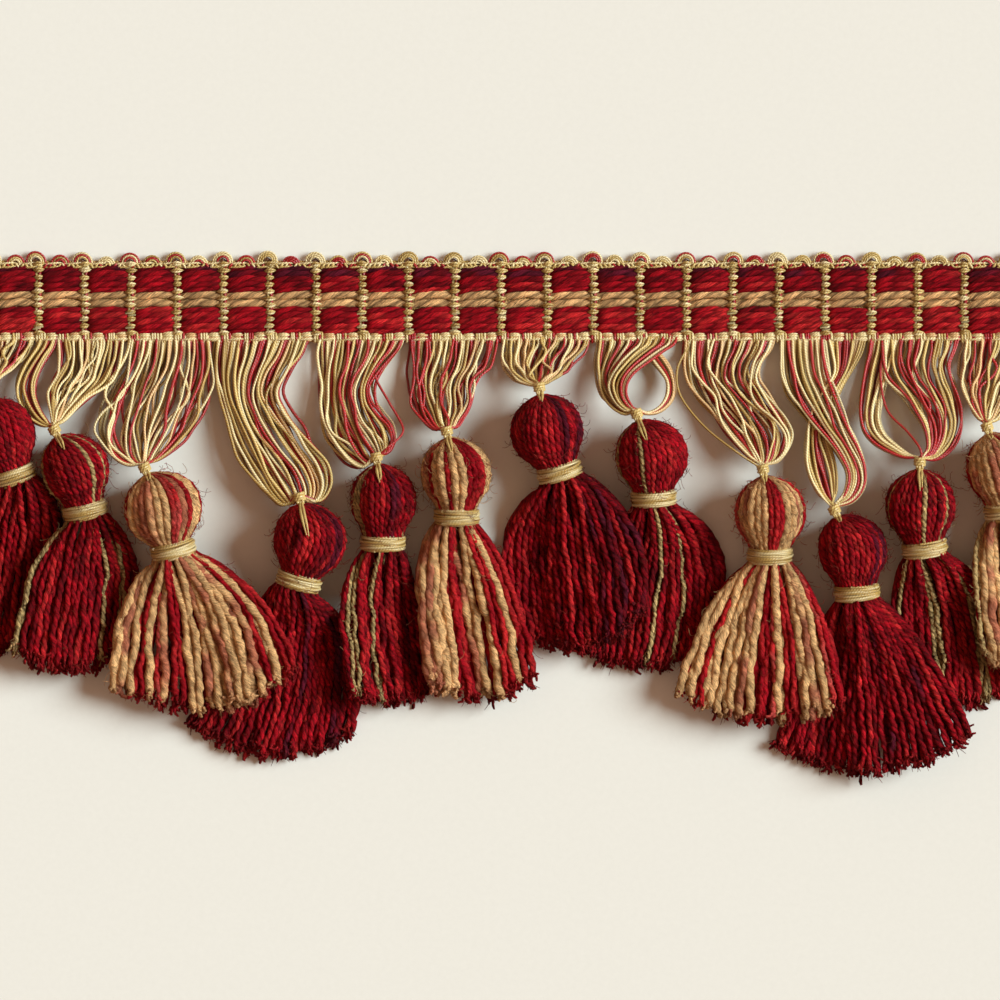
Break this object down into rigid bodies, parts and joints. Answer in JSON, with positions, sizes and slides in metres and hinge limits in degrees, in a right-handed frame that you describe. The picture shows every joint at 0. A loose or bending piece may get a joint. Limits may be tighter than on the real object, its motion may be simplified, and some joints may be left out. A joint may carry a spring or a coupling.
{
  "type": "tassel fringe trimming, cut length",
  "caption": "Straight length of woven trimming with a picot edge, clusters of looped gold thread and wool tassels in crimson and tan, lying flat.",
  "frame": {"origin": "middle of the heading's flat back", "axes": "+X along the heading, +Y up its face towards the picot edge, +Z away from the surface it lies on"},
  "size_m": [0.273, 0.1264, 0.0175],
  "materials": {
    "heading_weave": "matte wool floats with gold thread bars",
    "loop_thread": "soft sheen cream, gold and red thread",
    "tie_thread": "soft sheen gold thread",
    "wool_crimson": "matte wool",
    "wool_flecked": "matte wool with beige strands",
    "wool_tan": "matte wool with crimson strands"
  },
  "bodies": {
    "root": {"heading": "heading_weave", "loops_01": "loop_thread", "hanger_01": "tie_thread", "tassel_01": "wool_crimson", "tie_01": "tie_thread", "loops_02": "loop_thread", "hanger_02": "tie_thread", "tassel_02": "wool_flecked", "tie_02": "tie_thread", "loops_03": "loop_thread", "hanger_03": "tie_thread", "tassel_03": "wool_tan", "tie_03": "tie_thread", "loops_04": "loop_thread", "hanger_04": "tie_thread", "tassel_04": "wool_crimson", "tie_04": "tie_thread", "loops_05": "loop_thread", "hanger_05": "tie_thread", "tassel_05": "wool_flecked", "tie_05": "tie_thread", "loops_06": "loop_thread", "hanger_06": "tie_thread", "tassel_06": "wool_tan", "tie_06": "tie_thread", "loops_07": "loop_thread", "hanger_07": "tie_thread", "tassel_07": "wool_crimson", "tie_07": "tie_thread", "loops_08": "loop_thread", "hanger_08": "tie_thread", "tassel_08": "wool_flecked", "tie_08": "tie_thread", "loops_09": "loop_thread", "hanger_09": "tie_thread", "tassel_09": "wool_tan", "tie_09": "tie_thread", "loops_10": "loop_thread", "hanger_10": "tie_thread", "tassel_10": "wool_crimson", "tie_10": "tie_thread", "loops_11": "loop_thread", "hanger_11": "tie_thread", "tassel_11": "wool_flecked", "tie_11": "tie_thread", "loops_12": "loop_thread", "hanger_12": "tie_thread", "tassel_12": "wool_tan", "tie_12": "tie_thread"}
  },
  "joints": []
}
